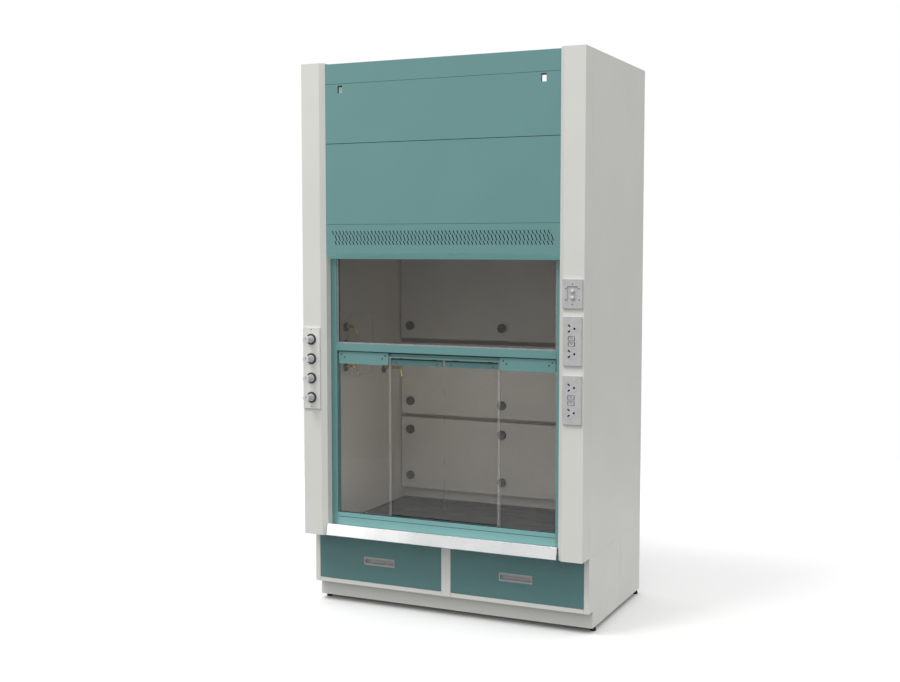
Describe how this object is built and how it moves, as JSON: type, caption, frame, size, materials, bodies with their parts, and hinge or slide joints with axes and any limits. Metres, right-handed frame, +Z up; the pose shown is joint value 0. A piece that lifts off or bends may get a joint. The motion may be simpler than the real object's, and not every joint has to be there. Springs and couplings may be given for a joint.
{
  "type": "fume hood",
  "caption": "Bench fume hood with a counterbalanced combination sash, baffled chamber, service and power posts, and a drawer base cabinet.",
  "frame": {"origin": "centre of the overall box at floor level, under the levelling feet", "axes": "+X to the user's right, +Y to the back of the hood, +Z up"},
  "size_m": [1.2, 0.815, 2.2108],
  "materials": {
    "casing_paint": "satin powder coat",
    "teal_paint": "satin powder coat",
    "black_paint": "matt paint",
    "frame_paint": "satin paint",
    "lining_laminate": "matt laminate",
    "black_plastic": "satin moulding",
    "worktop_resin": "matt cast resin",
    "stainless": "polished along its length",
    "white_plastic": "matt",
    "lamp_white": "matt",
    "clear_glass": "clear",
    "tinted_glass": "lightly tinted",
    "gasket_rubber": "matt",
    "belt_rubber": "matt",
    "shaft_steel": "ground",
    "weight_iron": "as cast",
    "plate_grey": "satin moulding",
    "satin_aluminium": "satin turned",
    "fitting_brass": "polished",
    "pull_grey": "satin moulding"
  },
  "bodies": {
    "root": {"outer_panels": "casing_paint", "post_left": "casing_paint", "post_right": "casing_paint", "header_panels": "teal_paint", "header_frame": "black_paint", "support_frame": "frame_paint", "lining_panels": "lining_laminate", "baffles": "lining_laminate", "baffle_knobs": "black_plastic", "worktop": "worktop_resin", "airfoil_sill": "stainless", "exhaust_collar": "stainless", "light_fitting": "lamp_white", "sash_guides": "white_plastic", "sash_belts": "belt_rubber", "service_plate": "casing_paint", "escutcheons": "black_plastic", "service_fittings": "fitting_brass", "outlet_plates": "plate_grey", "plate_screws": "shaft_steel", "cabinet_carcass": "casing_paint", "plinth": "casing_paint", "drawer_runners": "frame_paint"},
    "sash": {"sash_stiles": "teal_paint", "sash_rails": "teal_paint", "sash_track_rail": "teal_paint", "sash_upper_glass": "tinted_glass", "sash_gasket": "gasket_rubber"},
    "front_left_pane": {"hanger_front_left": "teal_paint", "pane_front_left": "clear_glass"},
    "rear_left_pane": {"hanger_rear_left": "teal_paint", "pane_rear_left": "clear_glass"},
    "rear_right_pane": {"hanger_rear_right": "teal_paint", "pane_rear_right": "clear_glass"},
    "front_right_pane": {"hanger_front_right": "teal_paint", "pane_front_right": "clear_glass"},
    "top_shaft": {"cross_shaft": "shaft_steel"},
    "bottom_pulleys": {"lower_pulleys": "shaft_steel"},
    "weights": {"counterweights": "weight_iron"},
    "access_panel": {"header_access_panel": "teal_paint"},
    "knob_1": {"service_knob_1": "satin_aluminium"},
    "knob_2": {"service_knob_2": "satin_aluminium"},
    "knob_3": {"service_knob_3": "satin_aluminium"},
    "knob_4": {"service_knob_4": "satin_aluminium"},
    "button_upper": {"push_button_upper": "satin_aluminium"},
    "button_lower": {"push_button_lower": "satin_aluminium"},
    "switch_1": {"rocker_1": "plate_grey"},
    "switch_2": {"rocker_2": "plate_grey"},
    "switch_3": {"rocker_3": "plate_grey"},
    "switch_4": {"rocker_4": "plate_grey"},
    "drawer_left": {"drawer_front_left": "teal_paint", "drawer_box_left": "frame_paint", "drawer_pull_left": "pull_grey"},
    "drawer_right": {"drawer_front_right": "teal_paint", "drawer_box_right": "frame_paint", "drawer_pull_right": "pull_grey"},
    "front_left_foot": {"foot_front_left": "black_plastic"},
    "front_right_foot": {"foot_front_right": "black_plastic"},
    "rear_left_foot": {"foot_rear_left": "black_plastic"},
    "rear_right_foot": {"foot_rear_right": "black_plastic"}
  },
  "joints": [
    {"name": "sash_lift", "type": "slide", "parent": "root", "child": "sash", "axis": [0, 0, 1], "range_m": [0, 0.7]},
    {"name": "front_left_slide", "type": "slide", "parent": "sash", "child": "front_left_pane", "axis": [1, 0, 0], "range_m": [0, 0.23]},
    {"name": "rear_left_slide", "type": "slide", "parent": "sash", "child": "rear_left_pane", "axis": [-1, 0, 0], "range_m": [0, 0.23]},
    {"name": "rear_right_slide", "type": "slide", "parent": "sash", "child": "rear_right_pane", "axis": [1, 0, 0], "range_m": [0, 0.23]},
    {"name": "front_right_slide", "type": "slide", "parent": "sash", "child": "front_right_pane", "axis": [-1, 0, 0], "range_m": [0, 0.23]},
    {"name": "counterweight_drop", "type": "slide", "parent": "root", "child": "weights", "axis": [0, 0, -1], "range_m": [0, 0.7]},
    {"name": "shaft_turn", "type": "hinge", "parent": "root", "child": "top_shaft", "pos_m": [0, -0.245, 2.15], "axis": [-1, 0, 0], "range_deg": [0, 1005]},
    {"name": "lower_pulley_turn", "type": "hinge", "parent": "root", "child": "bottom_pulleys", "pos_m": [0, -0.245, 0.4], "axis": [-1, 0, 0], "range_deg": [0, 1005]},
    {"name": "access_panel_tilt", "type": "hinge", "parent": "root", "child": "access_panel", "pos_m": [0, -0.336, 1.896], "axis": [1, 0, 0], "range_deg": [0, 80]},
    {"name": "knob_1_turn", "type": "hinge", "parent": "root", "child": "knob_1", "pos_m": [-0.559, -0.355, 1.108], "axis": [0, -1, 0], "range_deg": [0, 270]},
    {"name": "knob_2_turn", "type": "hinge", "parent": "root", "child": "knob_2", "pos_m": [-0.559, -0.355, 1.029], "axis": [0, -1, 0], "range_deg": [0, 270]},
    {"name": "knob_3_turn", "type": "hinge", "parent": "root", "child": "knob_3", "pos_m": [-0.559, -0.355, 0.95], "axis": [0, -1, 0], "range_deg": [0, 270]},
    {"name": "knob_4_turn", "type": "hinge", "parent": "root", "child": "knob_4", "pos_m": [-0.559, -0.355, 0.871], "axis": [0, -1, 0], "range_deg": [0, 270]},
    {"name": "button_upper_press", "type": "slide", "parent": "root", "child": "button_upper", "axis": [0, 1, 0], "range_m": [0, 0.003], "stiffness_N_per_m": 300},
    {"name": "button_lower_press", "type": "slide", "parent": "root", "child": "button_lower", "axis": [0, 1, 0], "range_m": [0, 0.003], "stiffness_N_per_m": 300},
    {"name": "switch_1_rock", "type": "hinge", "parent": "root", "child": "switch_1", "pos_m": [0.5545, -0.357, 1.1448], "axis": [0, 0, 1], "range_deg": [0, 16]},
    {"name": "switch_2_rock", "type": "hinge", "parent": "root", "child": "switch_2", "pos_m": [0.5545, -0.357, 1.1242], "axis": [0, 0, 1], "range_deg": [0, 16]},
    {"name": "switch_3_rock", "type": "hinge", "parent": "root", "child": "switch_3", "pos_m": [0.5545, -0.357, 0.9258], "axis": [0, 0, 1], "range_deg": [0, 16]},
    {"name": "switch_4_rock", "type": "hinge", "parent": "root", "child": "switch_4", "pos_m": [0.5545, -0.357, 0.9052], "axis": [0, 0, 1], "range_deg": [0, 16]},
    {"name": "drawer_left_slide", "type": "slide", "parent": "root", "child": "drawer_left", "axis": [0, -1, 0], "range_m": [0, 0.3]},
    {"name": "drawer_right_slide", "type": "slide", "parent": "root", "child": "drawer_right", "axis": [0, -1, 0], "range_m": [0, 0.3]},
    {"name": "front_left_foot_screw", "type": "slide", "parent": "root", "child": "front_left_foot", "axis": [0, 0, -1], "range_m": [0, 0.02]},
    {"name": "front_right_foot_screw", "type": "slide", "parent": "root", "child": "front_right_foot", "axis": [0, 0, -1], "range_m": [0, 0.02]},
    {"name": "rear_left_foot_screw", "type": "slide", "parent": "root", "child": "rear_left_foot", "axis": [0, 0, -1], "range_m": [0, 0.02]},
    {"name": "rear_right_foot_screw", "type": "slide", "parent": "root", "child": "rear_right_foot", "axis": [0, 0, -1], "range_m": [0, 0.02]}
  ],
  "couplings": [
    {"joint": "counterweight_drop", "follows": "sash_lift", "ratio": 1},
    {"joint": "shaft_turn", "follows": "sash_lift", "rad_per_m": 25},
    {"joint": "lower_pulley_turn", "follows": "sash_lift", "rad_per_m": 25}
  ]
}
